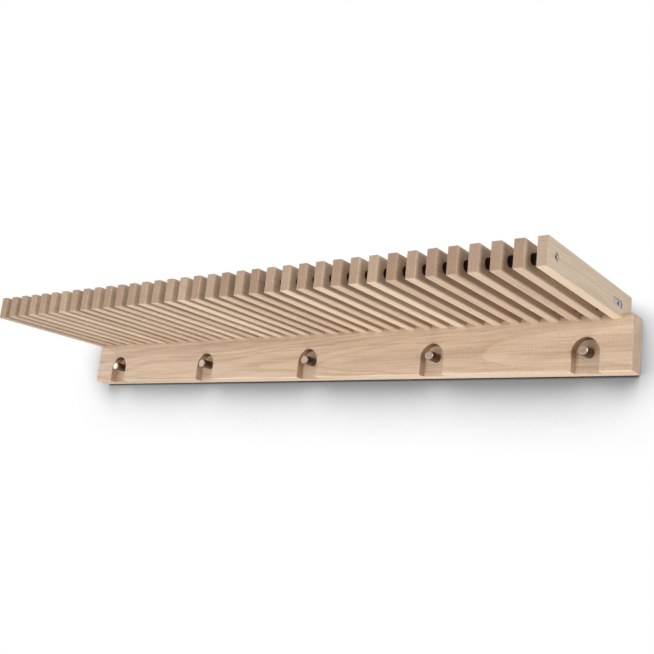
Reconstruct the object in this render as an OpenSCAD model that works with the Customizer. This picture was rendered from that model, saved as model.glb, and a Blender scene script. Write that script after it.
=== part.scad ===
// Wall coat rail with a slatted hat shelf.
// A row of oak slats stands on edge over the top of a long oak rail. Two steel tie rods
// with black spacer tubes hold the slats apart. Round steel pegs sit in arched recesses
// that are open at the rail's lower edge.
// Frame: X along the wall, -Y out into the room, +Z up. The wall is the plane Y = 0, and
// the origin is the middle of the rail's back face. All sizes are in millimetres.

/* [Rail] */
// Length of the rail along the wall
rail_l = 1000; // [600:1:1600]
// Height of the rail
rail_h = 72; // [62:0.5:110]
// Thickness of the rail
rail_t = 30; // [26:0.5:45]
// Radius of the rail's eased edges
rail_ease = 1.6; // [0.8:0.1:3]

/* [Shelf slats] */
// Number of slats, evenly pitched along the rail
slat_count = 37; // [21:1:45]
// Thickness of one slat
slat_w = 13.5; // [8:0.1:20]
// Height of one slat
slat_h = 35; // [30:0.5:50]
// Length of one slat, from the wall to its nose
slat_l = 250; // [180:1:350]
// Radius of the slats' eased edges
slat_ease = 2; // [0.6:0.1:3]
// Height of the notch that drops over the rail's top edge
notch_h = 7; // [4:0.5:12]

/* [Recesses and pegs] */
// Number of pegs
peg_count = 5; // [3:1:6]
// Distance from the rail's end to the first peg
peg_inset = 59; // [40:0.5:90]
// Width of a recess
recess_w = 36; // [28:0.5:44]
// Height of a recess, from the rail's lower edge to the crown of its arch
recess_h = 44; // [38:0.5:56]
// Depth of a recess
recess_depth = 13.5; // [8:0.5:16]
// Width of the chamfer round a recess's mouth
recess_rim = 0.7; // [0.3:0.1:1.2]
// Diameter of a peg
peg_d = 13; // [9:0.1:18]
// Length of a peg in front of the recess's back wall
peg_reach = 22; // [18:0.5:40]
// Chamfer at the peg's free end
peg_chamfer = 0.9; // [0.4:0.1:1.5]

/* [Tie rods and spacers] */
// Diameter of a tie rod
rod_d = 6; // [4:0.1:8]
// Distance from the slats' noses to the front rod's axis
front_rod_back = 21; // [16:0.5:40]
// Height of the front rod's axis above the slats' lower edge
front_rod_rise = 16.5; // [14:0.5:20]
// Distance from the rail's front face to the rear rod's axis
rear_rod_ahead = 15; // [12:0.5:30]
// Height of the rear rod's axis above the slats' lower edge
rear_rod_rise = 15; // [13:0.5:20]
// Diameter of a spacer tube
spacer_d = 13.5; // [10.5:0.1:18]
// Chamfer at both rims of a spacer tube
spacer_chamfer = 0.5; // [0.3:0.1:1]
// Diameter of the front end nuts, and width of the long rear ones
nut_d = 9.4; // [9.2:0.1:10.2]
// Thickness of the end nuts
nut_t = 3.6; // [2.5:0.1:4.5]

/* [Wall keyholes] */
// Width of a keyhole's entry, which takes the head of a wall screw
keyhole_head_d = 10; // [8:0.1:12]
// Width of a keyhole's narrow neck
keyhole_neck_w = 5; // [4:0.1:6.5]
// Length of the neck above the entry
keyhole_drop = 12; // [9:0.5:18]
// Thickness of wood left behind the screw's head
keyhole_lip = 4; // [3:0.5:6]
// Depth of a keyhole
keyhole_depth = 12; // [9.5:0.5:15]

/* [Hidden] */
$fn = 48;

// Running room round the rods, nuts, screws and dowels, and one overrun for every cut
rod_gap = 0.2;
nut_gap = 0.2;
screw_gap = 0.2;
thread_gap = 0.05;
over = 1;

// Pitch of the slats: the first one is flush with the rail's left end, and the last gap
// lies at the right end, so that two rails in a row keep the rhythm
slat_pitch = rail_l / slat_count;
slat_gap = slat_pitch - slat_w;
row_left = -rail_l / 2;
row_right = row_left + (slat_count - 1) * slat_pitch + slat_w;

// Heights and depths that several pieces share
rail_top = rail_h / 2;
rail_bottom = -rail_h / 2;
rail_face = -rail_t;
slat_bottom = rail_top - notch_h;
slat_nose = -slat_l;
recess_back = rail_face + recess_depth;
peg_pitch = (rail_l - 2 * peg_inset) / (peg_count - 1);
peg_axis = rail_bottom + recess_h - recess_w / 2;

// Tie rods: axis places, bores in the slats and sunk nuts at both ends
front_rod_y = slat_nose + front_rod_back;
front_rod_z = slat_bottom + front_rod_rise;
rear_rod_y = rail_face - rear_rod_ahead;
rear_rod_z = slat_bottom + rear_rod_rise;
rod_bore_d = rod_d + 2 * rod_gap;
nut_sunk = 0.6;
nut_seat = nut_t + nut_sunk;
nut_pocket_d = nut_d + 2 * nut_gap;
nut_chamfer = 0.6;
rear_pocket_l = 32;
rear_pocket_run = (rear_pocket_l - nut_pocket_d) / 2;
rear_pocket_ahead = 4;
hex_wall = 1.2;
hex_w = rod_d - 2 * hex_wall;
hex_depth = 2.6;
rod_inset = nut_sunk + 0.4;

// Screws that pull the pegs against the back walls of the recesses
screw_d = 5;
screw_head_d = 9;
screw_head_t = 3.5;
screw_head_sunk = 1;
screw_bite = 10;
screw_tip_room = 2;
screw_recess = screw_head_t + screw_head_sunk;
screw_hex_w = 4;
screw_hex_depth = 2;

// Hardwood dowels between the slats' notches and the rail's top
dowel_d = 8;
dowel_up = 18;
dowel_down = 20;
dowel_end_gap = 0.6;
dowel_gap = 0.1;
dowel_chamfer = 1;
dowel_y = -rail_t / 2;

// Keyholes halfway between the outer two pegs on each side
keyhole_x = peg_pitch * (peg_count - 2) / 2;
keyhole_z = rail_top - dowel_down - keyhole_drop - keyhole_head_d;

function two_digits(n) = str(n < 10 ? "0" : "", n);
function slat_name(i) = str("slat_", two_digits(i + 1));
function peg_name(i) = str("peg_", i + 1);
function slat_x(i) = row_left + i * slat_pitch;
function peg_x(i) = row_left + peg_inset + i * peg_pitch;

// Rectangle with true round corners, its low corner at the origin
module eased_rect(size, r) {
    translate([r, 0]) square([size[0] - 2 * r, size[1]]);
    translate([0, r]) square([size[0], size[1] - 2 * r]);
    for (x = [r, size[0] - r], y = [r, size[1] - r])
        translate([x, y]) circle(r = r);
}

// Stands an outline drawn in Y and Z up, and runs it along X
module along_x(length) {
    rotate([90, 0, 90]) linear_extrude(length) children();
}

// Board with all its edges eased, low corner at the origin
module eased_board(size, r) {
    intersection() {
        along_x(size[0]) eased_rect([size[1], size[2]], r);
        linear_extrude(size[2]) eased_rect([size[0], size[1]], r);
        translate([0, size[1], 0]) rotate([90, 0, 0])
            linear_extrude(size[1]) eased_rect([size[0], size[2]], r);
    }
}

// Cylinder along X from x = 0
module bar_x(d, length) {
    rotate([0, 90, 0]) cylinder(d = d, h = length);
}

// Cylinder along +Y from y = 0
module bar_y(d, length) {
    rotate([-90, 0, 0]) cylinder(d = d, h = length);
}

// Hexagon prism along X, across its flats
module hex_x(w, length) {
    rotate([0, 90, 0]) cylinder(d = w / cos(30), h = length, $fn = 6);
}

// Arched recess, open at the rail's lower edge and at its face, with a chamfered mouth
module recess_cut() {
    leg_h = recess_h - recess_w / 2 + over;
    half = recess_w / 2;
    flare = recess_rim + over;
    translate([0, recess_back, rail_bottom - over]) rotate([90, 0, 0])
        linear_extrude(recess_depth + over) {
            translate([-half, 0]) square([recess_w, leg_h]);
            translate([0, leg_h]) circle(d = recess_w);
        }
    translate([0, rail_face - over, peg_axis]) rotate([-90, 0, 0])
        cylinder(r1 = half + flare, r2 = half, h = flare);
    translate([0, rail_face - over, rail_bottom - over]) linear_extrude(leg_h) polygon([
        [-half - flare, 0],
        [half + flare, 0],
        [half, flare],
        [-half, flare]
    ]);
}

// Path of a peg's screw through the rail, with the pocket for its head
module peg_screw_cut() {
    translate([0, recess_back - over, peg_axis])
        bar_y(screw_d + 2 * screw_gap, -recess_back + 2 * over);
    translate([0, -screw_recess, peg_axis])
        bar_y(screw_head_d + 2 * screw_gap, screw_recess + over);
}

// Keyhole cut from the back: round entry, narrow neck and a wider channel behind it
module keyhole_cut() {
    translate([0, -keyhole_depth, keyhole_z])
        bar_y(keyhole_head_d, keyhole_depth + over);
    for (cut = [[keyhole_neck_w, 0], [keyhole_head_d, keyhole_lip]]) {
        translate([0, -cut[1] + (cut[1] == 0 ? over : 0), keyhole_z]) rotate([90, 0, 0])
            linear_extrude(keyhole_depth - cut[1] + (cut[1] == 0 ? over : 0)) {
                translate([-cut[0] / 2, 0]) square([cut[0], keyhole_drop]);
                translate([0, keyhole_drop]) circle(d = cut[0]);
            }
    }
}

// Blind holes in the rail's top, one under each slat
module rail_dowel_cuts() {
    for (i = [0 : slat_count - 1])
        translate([slat_x(i) + slat_w / 2, dowel_y, rail_top - dowel_down - dowel_end_gap])
            cylinder(d = dowel_d + 2 * dowel_gap, h = dowel_down + dowel_end_gap + over);
}

module rail() {
    color("burlywood") difference() {
        translate([row_left, rail_face, rail_bottom])
            eased_board([rail_l, rail_t, rail_h], rail_ease);
        for (i = [0 : peg_count - 1]) translate([peg_x(i), 0, 0]) {
            recess_cut();
            peg_screw_cut();
        }
        for (x = [-keyhole_x, keyhole_x]) translate([x, 0, 0]) keyhole_cut();
        rail_dowel_cuts();
    }
}

// Bar with round ends, its length along Y and its thickness along +X from x = 0
module long_x(width, run, thickness) {
    for (y = [-run, run]) translate([0, y, 0]) bar_x(width, thickness);
    translate([0, -run, -width / 2]) cube([thickness, 2 * run, width]);
}

// Notch that drops over the rail's top edge
module notch_cut() {
    translate([-over, rail_face, slat_bottom - over])
        cube([slat_w + 2 * over, rail_t + over, notch_h + over]);
}

// Sunk seats for the end nuts in an outer slat's outer face, cut inwards along +X
module nut_seats() {
    translate([-over, front_rod_y, front_rod_z]) bar_x(nut_pocket_d, nut_seat + over);
    translate([-over, rear_rod_y - rear_pocket_ahead, rear_rod_z])
        long_x(nut_pocket_d, rear_pocket_run, nut_seat + over);
}

module slat(i) {
    color("burlywood") translate([slat_x(i), 0, 0]) difference() {
        translate([0, slat_nose, slat_bottom]) eased_board([slat_w, slat_l, slat_h], slat_ease);
        notch_cut();
        for (rod = [[front_rod_y, front_rod_z], [rear_rod_y, rear_rod_z]])
            translate([-over, rod[0], rod[1]]) bar_x(rod_bore_d, slat_w + 2 * over);
        translate([slat_w / 2, dowel_y, rail_top - over])
            cylinder(d = dowel_d + 2 * dowel_gap, h = dowel_up + dowel_end_gap + over);
        if (i == 0) nut_seats();
        if (i == slat_count - 1) translate([slat_w, 0, 0]) mirror([1, 0, 0]) nut_seats();
    }
}

// Steel tie rod with a hexagon socket in each end
module tie_rod(y, z) {
    rod_l = row_right - row_left - 2 * rod_inset;
    color("silver") translate([row_left + rod_inset, y, z]) difference() {
        bar_x(rod_d, rod_l);
        translate([-over, 0, 0]) hex_x(hex_w, hex_depth + over);
        translate([rod_l - hex_depth, 0, 0]) hex_x(hex_w, hex_depth + over);
    }
}

// Black tubes with chamfered rims that fill the gaps between the slats on one rod
module spacer_row(y, z) {
    bore_r = rod_bore_d / 2;
    r = spacer_d / 2;
    color("black") for (i = [0 : slat_count - 2])
        translate([slat_x(i) + slat_w, y, z]) rotate([0, 90, 0]) rotate_extrude() polygon([
            [bore_r, 0],
            [r - spacer_chamfer, 0],
            [r, spacer_chamfer],
            [r, slat_gap - spacer_chamfer],
            [r - spacer_chamfer, slat_gap],
            [bore_r, slat_gap]
        ]);
}

// Round nut with a chamfered outer rim, its outer face at x = 0
module end_nut() {
    difference() {
        rotate([0, 90, 0]) rotate_extrude() polygon([
            [0, 0],
            [nut_d / 2 - nut_chamfer, 0],
            [nut_d / 2, nut_chamfer],
            [nut_d / 2, nut_t],
            [0, nut_t]
        ]);
        translate([-over, 0, 0]) bar_x(rod_d + 2 * thread_gap, nut_t + 2 * over);
    }
}

// Long nut with round ends that fills the rear pocket, its outer face at x = 0
module long_nut() {
    difference() {
        translate([0, -rear_pocket_ahead, 0]) long_x(nut_d, rear_pocket_run, nut_t);
        translate([-over, 0, 0]) bar_x(rod_d + 2 * thread_gap, nut_t + 2 * over);
    }
}

// Sets a nut into each outer slat, at both ends of one rod
module at_both_ends(y, z) {
    color("silver") {
        translate([row_left + nut_sunk, y, z]) children();
        translate([row_right - nut_sunk, y, z]) mirror([1, 0, 0]) children();
    }
}

module front_rod() {
    tie_rod(front_rod_y, front_rod_z);
}

module front_spacers() {
    spacer_row(front_rod_y, front_rod_z);
}

module front_nuts() {
    at_both_ends(front_rod_y, front_rod_z) end_nut();
}

module rear_rod() {
    tie_rod(rear_rod_y, rear_rod_z);
}

module rear_spacers() {
    spacer_row(rear_rod_y, rear_rod_z);
}

module rear_nuts() {
    at_both_ends(rear_rod_y, rear_rod_z) long_nut();
}

// Turned steel peg, seated on the recess's back wall, with a tapped hole in its foot
module peg(i) {
    color("silver") translate([peg_x(i), recess_back, peg_axis]) rotate([90, 0, 0]) difference() {
        rotate_extrude() polygon([
            [0, 0],
            [peg_d / 2, 0],
            [peg_d / 2, peg_reach - peg_chamfer],
            [peg_d / 2 - peg_chamfer, peg_reach],
            [0, peg_reach]
        ]);
        translate([0, 0, -over])
            cylinder(d = screw_d + 2 * thread_gap, h = screw_bite + screw_tip_room + over);
    }
}

// Socket screws, put in from the back of the rail
module peg_screws() {
    shank_l = -recess_back - screw_recess + screw_bite;
    color("dimgray") for (i = [0 : peg_count - 1])
        translate([peg_x(i), -screw_recess, peg_axis]) difference() {
            union() {
                translate([0, -shank_l, 0]) bar_y(screw_d, shank_l);
                bar_y(screw_head_d, screw_head_t);
            }
            translate([0, screw_head_t - screw_hex_depth, 0]) rotate([-90, 0, 0])
                cylinder(d = screw_hex_w / cos(30), h = screw_hex_depth + over, $fn = 6);
        }
}

// Hardwood dowels with chamfered ends, one in each slat's notch
module slat_dowels() {
    r = dowel_d / 2;
    color("tan") for (i = [0 : slat_count - 1])
        translate([slat_x(i) + slat_w / 2, dowel_y, rail_top])
            rotate_extrude() polygon([
                [0, -dowel_down],
                [r - dowel_chamfer, -dowel_down],
                [r, dowel_chamfer - dowel_down],
                [r, dowel_up - dowel_chamfer],
                [r - dowel_chamfer, dowel_up],
                [0, dowel_up]
            ]);
}

rail();
for (i = [0 : slat_count - 1]) slat(i);
front_rod();
front_spacers();
front_nuts();
rear_rod();
rear_spacers();
rear_nuts();
for (i = [0 : peg_count - 1]) peg(i);
peg_screws();
slat_dowels();
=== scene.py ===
import math

import bmesh
import bpy
from mathutils import Matrix, Vector


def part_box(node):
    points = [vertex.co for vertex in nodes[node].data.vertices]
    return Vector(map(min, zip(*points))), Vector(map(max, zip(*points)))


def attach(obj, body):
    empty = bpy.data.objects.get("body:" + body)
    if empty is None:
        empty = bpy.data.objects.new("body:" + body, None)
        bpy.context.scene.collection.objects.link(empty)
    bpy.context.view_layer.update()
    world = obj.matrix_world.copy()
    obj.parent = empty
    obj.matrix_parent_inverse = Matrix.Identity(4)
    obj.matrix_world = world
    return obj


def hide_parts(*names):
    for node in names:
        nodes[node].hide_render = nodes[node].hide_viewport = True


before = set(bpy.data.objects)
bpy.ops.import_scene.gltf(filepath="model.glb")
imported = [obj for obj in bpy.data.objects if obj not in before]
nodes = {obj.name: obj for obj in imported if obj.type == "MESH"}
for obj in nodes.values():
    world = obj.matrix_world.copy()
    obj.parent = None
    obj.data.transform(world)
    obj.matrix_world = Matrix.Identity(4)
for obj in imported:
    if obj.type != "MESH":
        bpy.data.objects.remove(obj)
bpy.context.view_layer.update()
scene = bpy.context.scene
scene.view_settings.view_transform = "Standard"


# Viewpoint
# The rack is seen from the right and from below, about a metre out from the wall, with the
# camera rolled a little so that the shelf runs down to the left.
EYE = Vector((0.87756, -1.09426, -0.26424))
TURN, LIFT, ROLL = math.radians(38.517), math.radians(12.653), math.radians(6.395)
LENS_MM, SENSOR_MM, NEAREST = 50.371, 36, 0.01

level = math.cos(LIFT)
look = Vector((-math.sin(TURN) * level, math.cos(TURN) * level, math.sin(LIFT)))
level_right = Vector((math.cos(TURN), math.sin(TURN), 0))
level_up = level_right.cross(look)
camera_right = math.cos(ROLL) * level_right + math.sin(ROLL) * level_up
camera_up = math.cos(ROLL) * level_up - math.sin(ROLL) * level_right

camera_data = bpy.data.cameras.new("camera")
camera_data.sensor_width = SENSOR_MM
camera_data.lens = LENS_MM
camera_data.clip_start = NEAREST
camera = bpy.data.objects.new("camera", camera_data)
scene.collection.objects.link(camera)
turned = Matrix((camera_right, camera_up, -look)).transposed()
camera.matrix_world = Matrix.Translation(EYE) @ turned.to_4x4()
scene.camera = camera


# Wall and floor
# The rack hangs on a plain white wall over a plain pale floor. The wall keeps the soft
# grey shade that gathers close round the rail, and is clear when it is seen from behind.
WALL_GAP = 0.0006
WALL_W, WALL_LOW, WALL_HIGH = 7.0, -1.7, 2.2
FLOOR_DEPTH = 9.0
WHITE, WALL_PAINT = (1, 1, 1, 1), (0.8, 0.8, 0.8, 1)
FLOOR_PAINT, FLOOR_GLOW, FLOOR_LIFT = (0.55, 0.545, 0.54, 1), (1, 0.99, 0.98, 1), 0.4

# the wall is shaded where the rack keeps off light from the room and from above, and at
# the left end from the right too; a stop is how open a place is, and how bright it is then
SIDE_LEAN, LIGHT_LEAN, EDGE_LEAN = (-1.4, 0.5), (-1.0, 0.9), (-0.35, 1.0)
WIDE_REACH, WIDE_RAYS = 0.1, 24
WIDE_SHADE = (
    (0.0, 0.2), (0.42, 0.28), (0.5, 0.38), (0.6, 0.51),
    (0.7, 0.66), (0.8, 0.82), (0.9, 0.97), (1.0, 1.0),
)
EDGE_REACH, EDGE_RAYS = 0.006, 16
EDGE_SHADE = ((0.36, 0.05), (0.5, 0.28), (0.64, 1.0))
SHADE_MIDDLE, SHADE_KEPT, SHADE_GONE = -0.19, 0.22, 0.26


def shader_node(tree, kind, wires=None, **settings):
    made = tree.nodes.new("ShaderNode" + kind)
    for name, value in settings.items():
        setattr(made, name, value)
    for name, value in (wires or {}).items():
        if isinstance(value, bpy.types.NodeSocket):
            tree.links.new(value, made.inputs[name])
        else:
            made.inputs[name].default_value = value
    return made


def sums(tree, operation, *values, clamp=False):
    wires = dict(enumerate(values))
    return shader_node(tree, "Math", wires, operation=operation, use_clamp=clamp).outputs[0]


def vector_sums(tree, operation, *values):
    return shader_node(
        tree, "VectorMath", dict(enumerate(values)), operation=operation).outputs[0]


def arrow(tree, x=0.0, y=0.0, z=0.0):
    return shader_node(tree, "CombineXYZ", {"X": x, "Y": y, "Z": z}).outputs[0]


def between(tree, value, low, high, start=0.0, end=1.0, curve="SMOOTHSTEP"):
    return shader_node(tree, "MapRange", {
        "Value": value, "From Min": low, "From Max": high, "To Min": start, "To Max": end,
    }, interpolation_type=curve).outputs[0]


def tinted(tree, share, first, second, mode="MIX"):
    return shader_node(
        tree, "Mix", {0: share, 6: first, 7: second}, data_type="RGBA", blend_type=mode).outputs[2]


def ramp(tree, value, stops):
    made = shader_node(tree, "ValToRGB", {"Fac": value})
    for place, level in stops[1:-1]:
        made.color_ramp.elements.new(place)
    for stop, (place, level) in zip(made.color_ramp.elements, stops):
        stop.position = place
        stop.color = (level, level, level, 1)
    return made.outputs["Color"]


def gathered_shade(tree, lean, reach, rays, stops):
    lean = vector_sums(tree, "NORMALIZE", arrow(tree, *lean))
    openness = shader_node(
        tree, "AmbientOcclusion", {"Distance": reach, "Normal": lean}, samples=rays)
    return ramp(tree, openness.outputs["AO"], stops)


def coordinates(tree):
    return shader_node(tree, "TexCoord").outputs


def split(tree, vector):
    return shader_node(tree, "SeparateXYZ", {"Vector": vector}).outputs


def seen_rays(tree):
    path = shader_node(tree, "LightPath").outputs
    seen = sums(tree, "ADD", path["Is Camera Ray"], path["Is Glossy Ray"])
    return sums(tree, "ADD", seen, path["Is Transmission Ray"], clamp=True)


def new_finish(name):
    finish = bpy.data.materials.new(name)
    finish.use_nodes = True
    finish.node_tree.nodes.clear()
    return finish, finish.node_tree


def sheet_mesh(name, width, height, turn, centre):
    shape = bmesh.new()
    bmesh.ops.create_grid(shape, x_segments=1, y_segments=1, size=0.5)
    bmesh.ops.scale(shape, vec=(width, height, 1), verts=shape.verts)
    bmesh.ops.transform(shape, matrix=Matrix.Translation(centre) @ turn, verts=shape.verts)
    mesh = bpy.data.meshes.new(name)
    shape.to_mesh(mesh)
    shape.free()
    made = bpy.data.objects.new(name, mesh)
    scene.collection.objects.link(made)
    return made


wall = sheet_mesh(
    "wall", WALL_W, WALL_HIGH - WALL_LOW, Matrix.Rotation(math.radians(90), 4, "X"),
    (0, WALL_GAP, (WALL_HIGH + WALL_LOW) / 2),
)
paint, tree = new_finish("white_wall")
spot = split(tree, coordinates(tree)["Object"])
side_lean = sums(tree, "MULTIPLY_ADD", spot["X"], *SIDE_LEAN)
wide = gathered_shade(tree, (side_lean, *LIGHT_LEAN), WIDE_REACH, WIDE_RAYS, WIDE_SHADE)
edge = gathered_shade(tree, (0.0, *EDGE_LEAN), EDGE_REACH, EDGE_RAYS, EDGE_SHADE)
shade = tinted(tree, 1.0, wide, edge, mode="MULTIPLY")
beyond = sums(tree, "ABSOLUTE", sums(tree, "SUBTRACT", spot["Z"], SHADE_MIDDLE))
shade = tinted(tree, between(tree, beyond, SHADE_KEPT, SHADE_GONE), shade, WHITE)
glow = shader_node(tree, "Emission", {"Color": shade, "Strength": 1.0}).outputs[0]
matt = shader_node(tree, "BsdfDiffuse", {"Color": WALL_PAINT}).outputs[0]
front = shader_node(tree, "MixShader", {0: seen_rays(tree), 1: matt, 2: glow}).outputs[0]
clear = shader_node(tree, "BsdfTransparent").outputs[0]
behind = shader_node(tree, "NewGeometry").outputs["Backfacing"]
both = shader_node(tree, "MixShader", {0: behind, 1: front, 2: clear}).outputs[0]
shader_node(tree, "OutputMaterial", {"Surface": both})
wall.data.materials.append(paint)
wall.visible_shadow = False
wall.visible_diffuse = False

floor = sheet_mesh("floor", WALL_W, FLOOR_DEPTH, Matrix.Identity(4), (0, 0, WALL_LOW))
paint, tree = new_finish("pale_floor")
matt = shader_node(tree, "BsdfDiffuse", {"Color": FLOOR_PAINT}).outputs[0]
glow = shader_node(tree, "Emission", {"Color": FLOOR_GLOW, "Strength": FLOOR_LIFT}).outputs[0]
lift = shader_node(tree, "MixShader", {0: seen_rays(tree), 2: glow}).outputs[0]
both = shader_node(tree, "AddShader", {0: matt, 1: lift}).outputs[0]
shader_node(tree, "OutputMaterial", {"Surface": both})
floor.data.materials.append(paint)


# Studio light
# Pale air and six soft lamps light the rack, from the left, the front, below, the right,
# above and behind. The front and lower lamps leave no glint on the steel.
AIR_LIGHT = 0.42

world = bpy.data.worlds.new("studio")
world.use_nodes = True
tree = world.node_tree
tree.nodes.clear()
air = shader_node(tree, "Background", {"Color": WHITE, "Strength": AIR_LIGHT}).outputs[0]
bright = shader_node(tree, "Background", {"Color": WHITE, "Strength": 1.0}).outputs[0]
both = shader_node(tree, "MixShader", {0: seen_rays(tree), 1: air, 2: bright}).outputs[0]
shader_node(tree, "OutputWorld", {"Surface": both})
scene.world = world

for name, stand, aim, size, watts, mirrored in (
    ("key_lamp", (-2.4, -1.7, 0.1), (0, -0.05, 0), (2.0, 1.6), 19, True),
    ("front_lamp", (-0.1, -2.5, -0.5), (0.1, -0.05, 0), (1.0, 1.0), 13.3, False),
    ("under_lamp", (0.15, -0.3, -1.4), (0.66, -0.1, 0), (1.2, 0.5), 17, False),
    ("side_lamp", (2.35, -0.85, 0.1), (0.4, -0.1, 0), (0.8, 1.2), 17.5, True),
    ("top_lamp", (-0.7, -0.1, 2.2), (0, -0.1, 0), (0.5, 0.5), 12, True),
    ("back_lamp", (-0.8, 2.4, 0.3), (0, 0, 0), (1.4, 1.0), 20, True),
):
    lamp = bpy.data.lights.new(name, "AREA")
    lamp.shape = "RECTANGLE"
    lamp.size, lamp.size_y = size
    lamp.energy = watts
    made = bpy.data.objects.new(name, lamp)
    scene.collection.objects.link(made)
    stand, aim = Vector(stand), Vector(aim)
    turned = (stand - aim).to_track_quat("Z", "Y").to_matrix()
    made.matrix_world = Matrix.Translation(stand) @ turned.to_4x4()
    made.visible_camera = False
    made.visible_glossy = mirrored


# Oak rail
# A long board of pale oiled oak lies flat against the wall. Its edges are eased and five
# arched recesses are routed into its face, so the grain runs on into their back walls.

# how often a trait of the wood comes back in a metre, along the grain and across it; a ray
# is counted along the grain, for each radian round the pith, and outwards from the pith
SWAY_WAVES, PORE_WAVES, FIBRE_WAVES = (3.2, 16), (190, 2300), (14, 700)
STREAK_WAVES, BROAD_WAVES = (11, 300), (2.6, 46)
RAY_ALONG, RAY_ROUND, RAY_OUTWARDS = 75, 120, 110

# how far the rings sway, how unevenly they grow, where in a year the early wood starts and
# fades, how large and how crowded the pores are, and where streaks and rays set in
SWAY, YEAR_WAVES, YEAR_DRIFT = 0.009, 0.37, 2.6
EARLY_START, EARLY_FADE = (0.0, 0.07), (0.12, 0.62)
PORE_SIZE, PORES_EARLY, PORES_LATE = (0.16, 0.42), 0.75, 0.12
STREAK_EDGE, BROAD_EDGE, RAY_EDGE = (0.36, 0.66), (0.3, 0.7), (0.64, 0.72)

# what each trait adds to the tone, and the tints of pores, rays and cut ends
EARLY_TONE, STREAK_TONE, BROAD_TONE, FIBRE_TONE = 0.24, 0.36, 0.32, 0.55
PORE_TINT, PORE_SHARE = (0.2, 0.115, 0.06, 1), 0.42
RAY_TINT, RAY_SHARE = (0.8, 0.6, 0.42, 1), 0.3
END_TINT, END_SHARE = (0.375, 0.195, 0.118, 1), 0.6

# what each trait adds to the oiled wood's roughness, and how far it stands up or sinks
OIL_ROUGH, PORE_ROUGH, RAY_ROUGH, END_ROUGH, FIBRE_ROUGH = 0.46, 0.2, -0.1, 0.12, 0.12
PORE_RISE, FIBRE_RISE, EARLY_RISE = -1, 0.45, -0.3


def product(tree, first, *others):
    for value in others:
        first = sums(tree, "MULTIPLY", first, value)
    return first


def weighed(tree, *pairs):
    parts = [sums(tree, "MULTIPLY", value, weight) for value, weight in pairs]
    whole = parts[0]
    for part in parts[1:]:
        whole = sums(tree, "ADD", whole, part)
    return whole


def distance_from(tree, across, up, centre=0.0, height=0.0):
    side = sums(tree, "POWER", sums(tree, "SUBTRACT", across, centre), 2)
    rise = sums(tree, "POWER", sums(tree, "SUBTRACT", up, height), 2)
    return sums(tree, "SQRT", sums(tree, "ADD", side, rise))


def open_group(name, takes, gives):
    group = bpy.data.node_groups.new(name, "ShaderNodeTree")
    for socket, kind, start in takes:
        made = group.interface.new_socket(socket, in_out="INPUT", socket_type="NodeSocket" + kind)
        made.default_value = start
    for socket, kind in gives:
        group.interface.new_socket(socket, in_out="OUTPUT", socket_type="NodeSocket" + kind)
    return group, group.nodes.new("NodeGroupInput").outputs


def close_group(group, **results):
    given = group.nodes.new("NodeGroupOutput").inputs
    for socket, value in results.items():
        group.links.new(value, given[socket])


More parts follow.
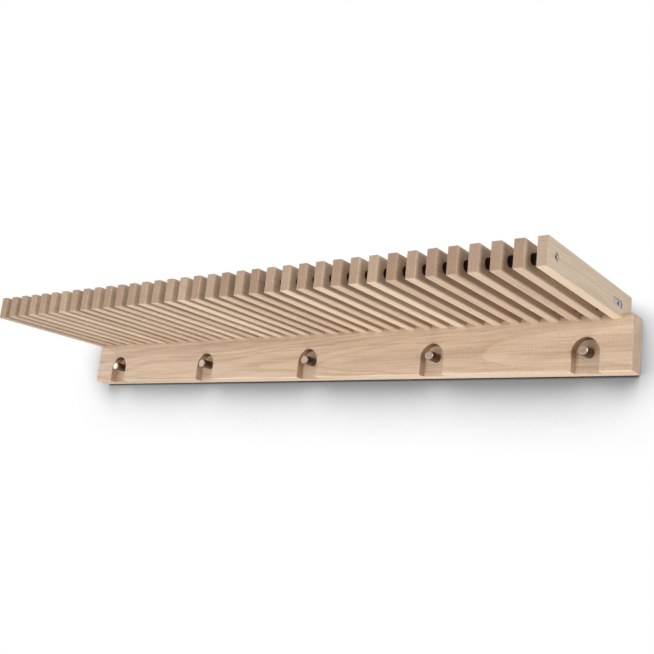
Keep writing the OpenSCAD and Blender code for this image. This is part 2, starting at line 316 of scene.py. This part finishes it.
def oak_grain_group():
    group, given = open_group(
        "oak_grain",
        (
            ("Place", "Vector", (0, 0, 0)), ("End", "Float", 0),
            ("Pale", "Color", (0.7, 0.5, 0.35, 1)), ("Deep", "Color", (0.5, 0.33, 0.2, 1)),
            ("Ring", "Float", 0.003), ("Figure", "Float", 1), ("Fleck", "Float", 1),
        ),
        (("Color", "Color"), ("Roughness", "Float"), ("Height", "Float")),
    )

    def stretched(source, waves):
        along, across = waves
        return vector_sums(group, "MULTIPLY", source, (along, across, across))

    def noise(source, detail, rough=0.5):
        return shader_node(group, "TexNoise", {
            "Vector": source, "Scale": 1.0, "Detail": detail, "Roughness": rough}).outputs

    # the tree's rings, bent by slow growth along the trunk
    sway = noise(stretched(given["Place"], SWAY_WAVES), 2)["Color"]
    sway = vector_sums(group, "SUBTRACT", sway, (0.5, 0.5, 0.5))
    sway = vector_sums(group, "MULTIPLY", sway, (0, SWAY, SWAY))
    grown = vector_sums(group, "ADD", given["Place"], sway)
    part = split(group, grown)
    radius = distance_from(group, part["Y"], part["Z"])
    turn = sums(group, "ARCTAN2", part["Z"], part["Y"])
    years = sums(group, "DIVIDE", radius, given["Ring"])
    uneven = shader_node(
        group, "TexNoise", {"W": years, "Scale": YEAR_WAVES, "Detail": 1.0},
        noise_dimensions="1D").outputs[0]
    years = sums(group, "ADD", years, sums(group, "MULTIPLY", uneven, YEAR_DRIFT))
    season = sums(group, "FRACT", years)
    early = product(
        group, between(group, season, *EARLY_START), between(group, season, *EARLY_FADE, 1, 0))

    # open pores, gathered in the early wood, and fine fibres
    pore_cells = shader_node(
        group, "TexVoronoi", {"Vector": stretched(given["Place"], PORE_WAVES), "Scale": 1.0},
        feature="F1").outputs
    chosen = shader_node(group, "SeparateColor", {"Color": pore_cells["Color"]}).outputs["Red"]
    crowd = sums(group, "ADD", sums(group, "MULTIPLY", early, PORES_EARLY), PORES_LATE)
    pore = product(
        group, between(group, pore_cells["Distance"], *PORE_SIZE, 1, 0),
        sums(group, "LESS_THAN", chosen, crowd))
    fibre = noise(stretched(given["Place"], FIBRE_WAVES), 4, 0.6)["Fac"]
    streak = noise(stretched(grown, STREAK_WAVES), 3, 0.6)["Fac"]
    broad = noise(stretched(given["Place"], BROAD_WAVES), 3)["Fac"]

    # medullary rays: thin sheets that run from the pith outwards
    ray_place = arrow(
        group, sums(group, "MULTIPLY", part["X"], RAY_ALONG),
        sums(group, "MULTIPLY", turn, RAY_ROUND), sums(group, "MULTIPLY", radius, RAY_OUTWARDS))
    ray = product(group, between(group, noise(ray_place, 1)["Fac"], *RAY_EDGE), given["Fleck"])

    tone = weighed(
        group, (early, EARLY_TONE), (between(group, streak, *STREAK_EDGE), STREAK_TONE),
        (between(group, broad, *BROAD_EDGE), BROAD_TONE))
    hairs = product(group, sums(group, "SUBTRACT", fibre, 0.5), FIBRE_TONE)
    tone = sums(group, "ADD", product(group, tone, given["Figure"]), hairs, clamp=True)
    wood = tinted(group, tone, given["Pale"], given["Deep"])
    wood = tinted(group, product(group, pore, PORE_SHARE), wood, PORE_TINT)
    wood = tinted(group, product(group, ray, RAY_SHARE), wood, RAY_TINT)
    wood = tinted(group, product(group, given["End"], END_SHARE), wood, END_TINT)
    rough = weighed(
        group, (pore, PORE_ROUGH), (ray, RAY_ROUGH), (given["End"], END_ROUGH),
        (fibre, FIBRE_ROUGH))
    raised = weighed(group, (pore, PORE_RISE), (fibre, FIBRE_RISE), (early, EARLY_RISE))
    close_group(
        group, Color=wood, Height=raised,
        Roughness=sums(group, "ADD", rough, OIL_ROUGH, clamp=True))
    return group


OAK_GRAIN = oak_grain_group()
# the tint of the painted shade in the arches of the recesses
ARCH_SHADE_TINT = (0.13, 0.055, 0.012, 1)
END_TURN = (0.6, 0.9)
GRAIN_BUMP, GRAIN_DEPTH, OIL_GLEAM = 0.35, 0.00025, 0.4


def oak_surface(tree, painted_shade=None, **grain):
    wood = shader_node(tree, "Group", grain, node_tree=OAK_GRAIN).outputs
    # where painted shade is given, the wood is darkened towards its tint
    colour = tinted(tree, painted_shade, wood["Color"], ARCH_SHADE_TINT) if painted_shade else wood["Color"]
    bump = shader_node(tree, "Bump", {
        "Height": wood["Height"], "Strength": GRAIN_BUMP, "Distance": GRAIN_DEPTH}).outputs[0]
    oak = shader_node(tree, "BsdfPrincipled", {
        "Base Color": colour, "Roughness": wood["Roughness"],
        "Normal": bump, "Specular IOR Level": OIL_GLEAM})
    shader_node(tree, "OutputMaterial", {"Surface": oak.outputs[0]})


def end_grain(tree, where, axis):
    facing = sums(tree, "ABSOLUTE", split(tree, where["Normal"])[axis])
    return between(tree, facing, *END_TURN, curve="LINEAR")


def give(finish, *names):
    for name in names:
        piece = nodes[name]
        piece.data.materials.clear()
        piece.data.materials.append(finish)


low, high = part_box("rail")
rail_half, rail_face = high.x, low.y
low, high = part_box("peg_1")
peg_x, peg_z, peg_r = (low.x + high.x) / 2, (low.z + high.z) / 2, (high.x - low.x) / 2
peg_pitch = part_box("peg_2")[0].x - low.x
RECESS_R, RECESS_DEPTH, RIM = 0.018, 0.0135, 0.0007


def from_nearest_peg(tree, across):
    return sums(
        tree, "WRAP", sums(tree, "SUBTRACT", across, peg_x), peg_pitch / 2, -peg_pitch / 2)


# where the board lay in its log; its sanded ends show the cut less than the recesses do
LOG_SHIFT, LOG_TILT = (3.1, -0.058, 0.014), (0, math.radians(1.1), math.radians(0.7))
END_DEPTH, END_SANDED = 0.003, 0.8

finish, tree = new_finish("oak_rail")
where = coordinates(tree)
spot = split(tree, where["Object"])
log = shader_node(tree, "Mapping", {
    "Vector": where["Object"], "Location": LOG_SHIFT, "Rotation": LOG_TILT}).outputs[0]
outside = sums(tree, "GREATER_THAN", sums(tree, "ABSOLUTE", spot["X"]), rail_half - END_DEPTH)
sanded = sums(tree, "SUBTRACT", 1.0, sums(tree, "MULTIPLY", outside, END_SANDED))
end = product(tree, end_grain(tree, where, "X"), sanded)

# painted shade darkens the inner wall of each recess's arch, most at its crown
ARCH_SHADE_START, ARCH_SHADE_FULL, ARCH_SHADE_PAST, ARCH_SHADE_SHARE = 0.0008, 0.0001, 0.0004, 0.85
CROWN_START, RIM_CLEAR, RIM_PAST, BACK_SPARE = 0.002, RIM * 0.6, RIM * 2, 0.0001
reach = distance_from(tree, from_nearest_peg(tree, spot["X"]), spot["Z"], 0.0, peg_z)
painted_shade = product(
    tree,
    between(tree, reach, RECESS_R - ARCH_SHADE_START, RECESS_R - ARCH_SHADE_FULL),
    sums(tree, "LESS_THAN", reach, RECESS_R + ARCH_SHADE_PAST),
    between(tree, spot["Z"], peg_z - CROWN_START, peg_z + RECESS_R),
    between(tree, spot["Y"], rail_face + RIM_CLEAR, rail_face + RIM_PAST),
    sums(tree, "LESS_THAN", spot["Y"], rail_face + RECESS_DEPTH + BACK_SPARE),
    ARCH_SHADE_SHARE,
)
oak_surface(
    tree, painted_shade, Place=log, End=end, Pale=(0.812, 0.631, 0.471, 1),
    Deep=(0.555, 0.391, 0.264, 1), Ring=0.0026, Figure=1.1, Fleck=0.7)
give(finish, "rail")


# Shelf slats
# Thirty-seven oak slats stand on edge, each sawn from its own piece of wood, so every one
# has its own tint and its own growth rings on the nose. Their grain runs towards the wall.
slats = [name for name in sorted(nodes) if name.startswith("slat_") and name != "slat_dowels"]
low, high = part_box("slat_01")
row_left, slat_w = low.x, high.x - low.x
slat_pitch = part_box("slat_02")[0].x - low.x

# counting starts a little to the left of each slat, and each slat has its own draw of wood:
# its place in the log, its distance from the pith, the tone of its nose, and its tint
COUNT_EARLY, WOOD_DRAW, LOG_STEP = 0.003, 87308.0, 0.83
PITH_NEAR, PITH_SPREAD = 0.03, 0.09
NOSE_LEAST, NOSE_SPREAD = 0.5, 0.55
PALE_LIGHT, PALE_DARK = (0.766, 0.613, 0.457, 1), (0.589, 0.434, 0.31, 1)
DEEP_LIGHT, DEEP_DARK = (0.57, 0.424, 0.294, 1), (0.412, 0.281, 0.193, 1)

finish, tree = new_finish("oak_slats")
where = coordinates(tree)
spot = split(tree, where["Object"])
count = sums(tree, "SUBTRACT", spot["X"], row_left - COUNT_EARLY)
count = sums(tree, "FLOOR", sums(tree, "DIVIDE", count, slat_pitch))
middle = sums(tree, "ADD", sums(tree, "MULTIPLY", count, slat_pitch), row_left + slat_w / 2)
own = shader_node(
    tree, "TexWhiteNoise", {"W": sums(tree, "ADD", count, WOOD_DRAW)},
    noise_dimensions="1D").outputs
picks = shader_node(tree, "SeparateColor", {"Color": own["Color"]}).outputs
side = sums(tree, "MULTIPLY", picks["Red"], math.tau)
far = sums(tree, "ADD", sums(tree, "MULTIPLY", picks["Green"], PITH_SPREAD), PITH_NEAR)
log = arrow(
    tree,
    sums(tree, "ADD", spot["Y"], sums(tree, "MULTIPLY", count, LOG_STEP)),
    sums(tree, "ADD", sums(tree, "SUBTRACT", spot["X"], middle),
         product(tree, sums(tree, "COSINE", side), far)),
    sums(tree, "ADD", spot["Z"], product(tree, sums(tree, "SINE", side), far)),
)
nose = sums(tree, "ADD", sums(tree, "MULTIPLY", picks["Green"], NOSE_SPREAD), NOSE_LEAST)
oak_surface(
    tree, Place=log, End=product(tree, end_grain(tree, where, "Y"), nose),
    Pale=tinted(tree, picks["Blue"], PALE_LIGHT, PALE_DARK),
    Deep=tinted(tree, picks["Blue"], DEEP_LIGHT, DEEP_DARK),
    Ring=0.0032, Figure=0.8, Fleck=0.8)
give(finish, *slats)


# Steel pegs
# Five pegs are turned from round stainless bar. Each stands on the back wall of its recess,
# is faced to a shallow dish at its free end, and is pulled home by a screw from behind.
FINE_MARKS, FINE_SHARE, COARSE_MARKS, COARSE_SHARE = 5200.0, 0.65, 900.0, 0.35
MARK_SPAN, STEEL_SMOOTH, STEEL_ROUGH = (0.3, 0.7), 0.28, 0.44
MARK_BUMP, MARK_DEPTH = 0.2, 0.00004
MERGE, SHARP = 1e-6, math.radians(38)


def lathe_marks_group():
    group, given = open_group(
        "lathe_marks", (("Radius", "Float", 0), ("Along", "Float", 0)),
        (("Tone", "Float"), ("Roughness", "Float"), ("Height", "Float")))
    place = arrow(group, given["Radius"], given["Along"])
    fine = shader_node(
        group, "TexNoise", {"Vector": place, "Scale": FINE_MARKS, "Detail": 2.0}).outputs[0]
    coarse = shader_node(
        group, "TexNoise", {"Vector": place, "Scale": COARSE_MARKS, "Detail": 1.0}).outputs[0]
    mixed = weighed(group, (fine, FINE_SHARE), (coarse, COARSE_SHARE))
    rough = between(group, mixed, *MARK_SPAN, STEEL_SMOOTH, STEEL_ROUGH, curve="LINEAR")
    close_group(group, Tone=coarse, Roughness=rough, Height=mixed)
    return group


LATHE_MARKS = lathe_marks_group()


def steel_surface(tree, radius, along, light, dark, shade, shade_tint):
    marks = shader_node(
        tree, "Group", {"Radius": radius, "Along": along}, node_tree=LATHE_MARKS).outputs
    # the shade mask lays a painted shade tint over the lathe marks
    tint = tinted(tree, shade, tinted(tree, marks["Tone"], light, dark), shade_tint)
    bump = shader_node(tree, "Bump", {
        "Height": marks["Height"], "Strength": MARK_BUMP, "Distance": MARK_DEPTH}).outputs[0]
    steel = shader_node(tree, "BsdfPrincipled", {
        "Base Color": tint, "Metallic": 1.0, "Roughness": marks["Roughness"], "Normal": bump})
    shader_node(tree, "OutputMaterial", {"Surface": steel.outputs[0]})


def turn_outline(shape, outline, place, along, steps, ring=False):
    known = set(shape.verts)
    line = [shape.verts.new((radius, 0, height)) for height, radius in outline]
    pairs = list(zip(line, line[1:])) + ([(line[-1], line[0])] if ring else [])
    edges = [shape.edges.new(pair) for pair in pairs]
    bmesh.ops.spin(
        shape, geom=line + edges, cent=(0, 0, 0), axis=(0, 0, 1), angle=math.tau,
        steps=steps, use_merge=True)
    made = [vert for vert in shape.verts if vert not in known]
    lay = Vector(along).to_track_quat("Z", "Y").to_matrix().to_4x4()
    bmesh.ops.transform(shape, matrix=Matrix.Translation(place) @ lay, verts=made)


def finished(name, shape, finish, slot, *stands_for):
    bmesh.ops.remove_doubles(shape, verts=shape.verts, dist=MERGE)
    bmesh.ops.recalc_face_normals(shape, faces=shape.faces)
    mesh = bpy.data.meshes.new(name)
    shape.to_mesh(mesh)
    shape.free()
    mesh.shade_smooth()
    mesh.set_sharp_from_angle(angle=SHARP)
    mesh.materials.append(finish)
    piece = bpy.data.objects.new(name, mesh)
    scene.collection.objects.link(piece)
    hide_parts(*stands_for)
    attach(piece, "root")


pegs = [f"peg_{number}" for number in range(1, 6)]
low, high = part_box("peg_1")
peg_reach, peg_tip = high.y - low.y, low.y
CHAMFER, ROUNDING, DISH, TAPPED_R, TAPPED_L = 0.0009, 0.0002, 0.00018, 0.00255, 0.012
SHAFT_SHADE_START, SHAFT_SHADE_FULL = 0.0006, 0.0016
PEG_LIGHT, PEG_DARK, PEG_SHADE = (0.54, 0.45, 0.4, 1), (0.47, 0.39, 0.34, 1), (0.17, 0.13, 0.1, 1)
PEG_STEPS = 72

# the faced end is bright, and the shaft behind it, from partway along the end's chamfer, is
# painted dark as shade
finish, tree = new_finish("turned_steel_pegs")
spot = split(tree, coordinates(tree)["Object"])
radius = distance_from(tree, from_nearest_peg(tree, spot["X"]), spot["Z"], 0.0, peg_z)
shaft_shade = between(tree, spot["Y"], peg_tip + SHAFT_SHADE_START, peg_tip + SHAFT_SHADE_FULL)
steel_surface(tree, radius, spot["Y"], PEG_LIGHT, PEG_DARK, shaft_shade, PEG_SHADE)

for name in pegs:
    low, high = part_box(name)
    shape = bmesh.new()
    turn_outline(shape, [
        (TAPPED_L, 0), (TAPPED_L, TAPPED_R), (0, TAPPED_R), (0, peg_r - ROUNDING),
        (ROUNDING, peg_r), (peg_reach - CHAMFER - ROUNDING, peg_r),
        (peg_reach - CHAMFER, peg_r - ROUNDING * 0.4),
        (peg_reach - ROUNDING * 0.4, peg_r - CHAMFER),
        (peg_reach, peg_r - CHAMFER - ROUNDING), (peg_reach - DISH * 0.6, peg_r * 0.6),
        (peg_reach - DISH, peg_r * 0.2), (peg_reach - DISH, 0),
    ], ((low.x + high.x) / 2, high.y, peg_z), (0, -1, 0), PEG_STEPS)
    finished("turned_" + name, shape, finish, "steel", name)


# Peg screws
# A zinc plated socket screw from the back of the rail holds each peg. Its head lies sunk in
# a round pocket, so that the rail can hang flat against the wall.
ZINC_CLOUDS, ZINC_SMOOTH, ZINC_ROUGH = 420.0, 0.28, 0.5
ZINC_LIGHT, ZINC_DARK = (0.5, 0.51, 0.53, 1), (0.36, 0.37, 0.38, 1)

finish, tree = new_finish("zinc_screws")
where = coordinates(tree)["Object"]
cloud = shader_node(tree, "TexNoise", {
    "Vector": where, "Scale": ZINC_CLOUDS, "Detail": 3.0}).outputs[0]
steel = shader_node(tree, "BsdfPrincipled", {
    "Base Color": tinted(tree, cloud, ZINC_LIGHT, ZINC_DARK), "Metallic": 1.0,
    "Roughness": between(tree, cloud, 0.0, 1.0, ZINC_SMOOTH, ZINC_ROUGH, curve="LINEAR")})
shader_node(tree, "OutputMaterial", {"Surface": steel.outputs[0]})
give(finish, "peg_screws")


# Tie rods and end nuts
# Two steel rods with hexagon sockets run through all the slats. A nut sits sunk in the outer
# slats on each of their ends, round in front and long at the rear, and clamps the shelf.
rod_boxes = [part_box(name) for name in ("front_rod", "rear_rod")]
rods = [((low.y + high.y) / 2, (low.z + high.z) / 2) for low, high in rod_boxes]
SOCKET_OUT, SOCKET_IN = 0.0022, 0.0018
ROD_LIGHT, ROD_DARK = (0.47, 0.44, 0.4, 1), (0.38, 0.355, 0.325, 1)
SOCKET_SHADE = (0.03, 0.028, 0.024, 1)

finish, tree = new_finish("rod_steel")
spot = split(tree, coordinates(tree)["Object"])
reach = sums(tree, "MINIMUM", *[distance_from(tree, spot["Y"], spot["Z"], *rod) for rod in rods])
# the hex sockets in the rod ends are painted almost black, as painted shade
socket = between(tree, reach, SOCKET_OUT, SOCKET_IN)
steel_surface(tree, reach, spot["X"], ROD_LIGHT, ROD_DARK, socket, SOCKET_SHADE)
give(finish, "front_rod", "rear_rod")

NUT_BORE_R, NUT_CHAMFER, NUT_T = 0.00305, 0.0006, 0.0036
BORE_EASE, BREAK, NUT_STEPS = 0.0003, 0.0001, 48
y, z = rods[0]
low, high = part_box("front_nuts")
nut_r = (high.z - low.z) / 2
shape = bmesh.new()
for x, along in ((low.x, 1), (high.x, -1)):
    turn_outline(shape, [
        (0, NUT_BORE_R + BORE_EASE), (0, nut_r - NUT_CHAMFER - BREAK),
        (BREAK, nut_r - NUT_CHAMFER + BREAK), (NUT_CHAMFER - BREAK, nut_r - BREAK),
        (NUT_CHAMFER + BREAK * 2, nut_r), (NUT_T - BREAK * 2, nut_r),
        (NUT_T, nut_r - BREAK * 2), (NUT_T, NUT_BORE_R), (BORE_EASE, NUT_BORE_R),
    ], (x, y, z), (along, 0, 0), NUT_STEPS, ring=True)
finished("turned_front_nuts", shape, finish, "steel", "front_nuts")

# the rear nuts are long, with round ends, and bored nearer to their wall end
RIM_ROUND, RIM_ANGLE = 0.0003, 1.2
y, z = rods[1]
low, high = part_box("rear_nuts")
long_r = (high.z - low.z) / 2
long_middle, long_run = (low.y + high.y) / 2, (high.y - low.y) / 2 - long_r
shape = bmesh.new()
for x, inward in ((low.x, 1), (high.x, -1)):
    known = set(shape.verts) | set(shape.edges) | set(shape.faces)
    rim = bmesh.ops.create_circle(shape, segments=NUT_STEPS, radius=long_r)["verts"]
    for side in (-1, 1):
        half = [vert for vert in rim if vert.co.x * side > MERGE]
        bmesh.ops.translate(shape, vec=(side * long_run, 0, 0), verts=half)
    bore = bmesh.ops.create_circle(shape, segments=NUT_STEPS, radius=NUT_BORE_R)["verts"]
    bmesh.ops.translate(shape, vec=(y - long_middle, 0, 0), verts=bore)
    bmesh.ops.bridge_loops(shape, edges=[edge for edge in shape.edges if edge not in known])
    plate = [face for face in shape.faces if face not in known]
    raised = bmesh.ops.extrude_face_region(shape, geom=plate)["geom"]
    raised = [part for part in raised if isinstance(part, bmesh.types.BMVert)]
    bmesh.ops.translate(shape, vec=(0, 0, NUT_T), verts=raised)
    plate = [face for face in shape.faces if face not in known]
    bmesh.ops.recalc_face_normals(shape, faces=plate)
    rims = [
        edge for edge in shape.edges
        if edge not in known and edge.calc_face_angle(0) > RIM_ANGLE]
    bmesh.ops.bevel(
        shape, geom=rims, affect="EDGES", offset=RIM_ROUND, segments=2, profile=0.5, material=-1)
    made = [vert for vert in shape.verts if vert not in known]
    lay = Matrix(((0, 0, inward), (1, 0, 0), (0, 1, 0))).to_4x4()
    bmesh.ops.transform(
        shape, matrix=Matrix.Translation((x, long_middle, z)) @ lay, verts=made)
finished("milled_rear_nuts", shape, finish, "steel", "rear_nuts")


# Spacer tubes
# Black moulded tubes on both rods keep the slats apart, one in each gap. Their rims are
# rounded, and their matt skin is finely grained and a little uneven.
SKIN_GRAIN, SKIN_SMEAR = 2600.0, 160.0
SKIN_BUMP, SKIN_DEPTH = 0.3, 0.00004
TUBE_SMOOTH, TUBE_ROUGH, TUBE_GLEAM = 0.5, 0.72, 0.12
TUBE_BLACK, TUBE_GREY = (0.005, 0.003, 0.002, 1), (0.01, 0.007, 0.005, 1)

finish, tree = new_finish("black_tube")
where = coordinates(tree)["Object"]
grain = shader_node(tree, "TexNoise", {
    "Vector": where, "Scale": SKIN_GRAIN, "Detail": 2.0}).outputs[0]
smear = shader_node(tree, "TexNoise", {
    "Vector": where, "Scale": SKIN_SMEAR, "Detail": 2.0}).outputs[0]
bump = shader_node(tree, "Bump", {
    "Height": grain, "Strength": SKIN_BUMP, "Distance": SKIN_DEPTH}).outputs[0]
tube = shader_node(tree, "BsdfPrincipled", {
    "Base Color": tinted(tree, smear, TUBE_BLACK, TUBE_GREY), "Normal": bump,
    "Roughness": between(tree, smear, 0.0, 1.0, TUBE_SMOOTH, TUBE_ROUGH, curve="LINEAR"),
    "Specular IOR Level": TUBE_GLEAM})
shader_node(tree, "OutputMaterial", {"Surface": tube.outputs[0]})

TUBE_BORE_R, TUBE_ROUND, TUBE_STEPS = 0.0032, 0.0005, 32
slat_gap = slat_pitch - slat_w
for name, (y, z) in zip(("front_spacers", "rear_spacers"), rods):
    low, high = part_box(name)
    tube_r = (high.z - low.z) / 2
    shape = bmesh.new()
    turn_outline(shape, [
        (0, TUBE_BORE_R), (0, tube_r - TUBE_ROUND),
        (TUBE_ROUND * 0.35, tube_r - TUBE_ROUND * 0.3), (TUBE_ROUND, tube_r),
        (slat_gap - TUBE_ROUND, tube_r),
        (slat_gap - TUBE_ROUND * 0.35, tube_r - TUBE_ROUND * 0.3),
        (slat_gap, tube_r - TUBE_ROUND), (slat_gap, TUBE_BORE_R),
    ], (low.x, y, z), (1, 0, 0), TUBE_STEPS, ring=True)
    faces = list(shape.faces)
    for gap in range(1, len(slats) - 1):
        copied = bmesh.ops.duplicate(shape, geom=faces)["geom"]
        verts = [part for part in copied if isinstance(part, bmesh.types.BMVert)]
        bmesh.ops.translate(shape, vec=(gap * slat_pitch, 0, 0), verts=verts)
    finished("moulded_" + name, shape, finish, "black_spacers", name)


# Hidden dowels
# A short beech dowel stands in each slat's notch and keeps the slat square on the rail. The
# dowels can't be seen once the shelf is put together.
BEECH_PITH = 1.07

finish, tree = new_finish("beech_dowels")
spot = split(tree, coordinates(tree)["Object"])
log = arrow(tree, spot["Z"], sums(tree, "ADD", spot["X"], BEECH_PITH), spot["Y"])
oak_surface(
    tree, Place=log, End=0.0, Pale=(0.72, 0.5, 0.32, 1), Deep=(0.58, 0.38, 0.23, 1),
    Ring=0.003, Figure=0.4, Fleck=0.3)
give(finish, "slat_dowels")
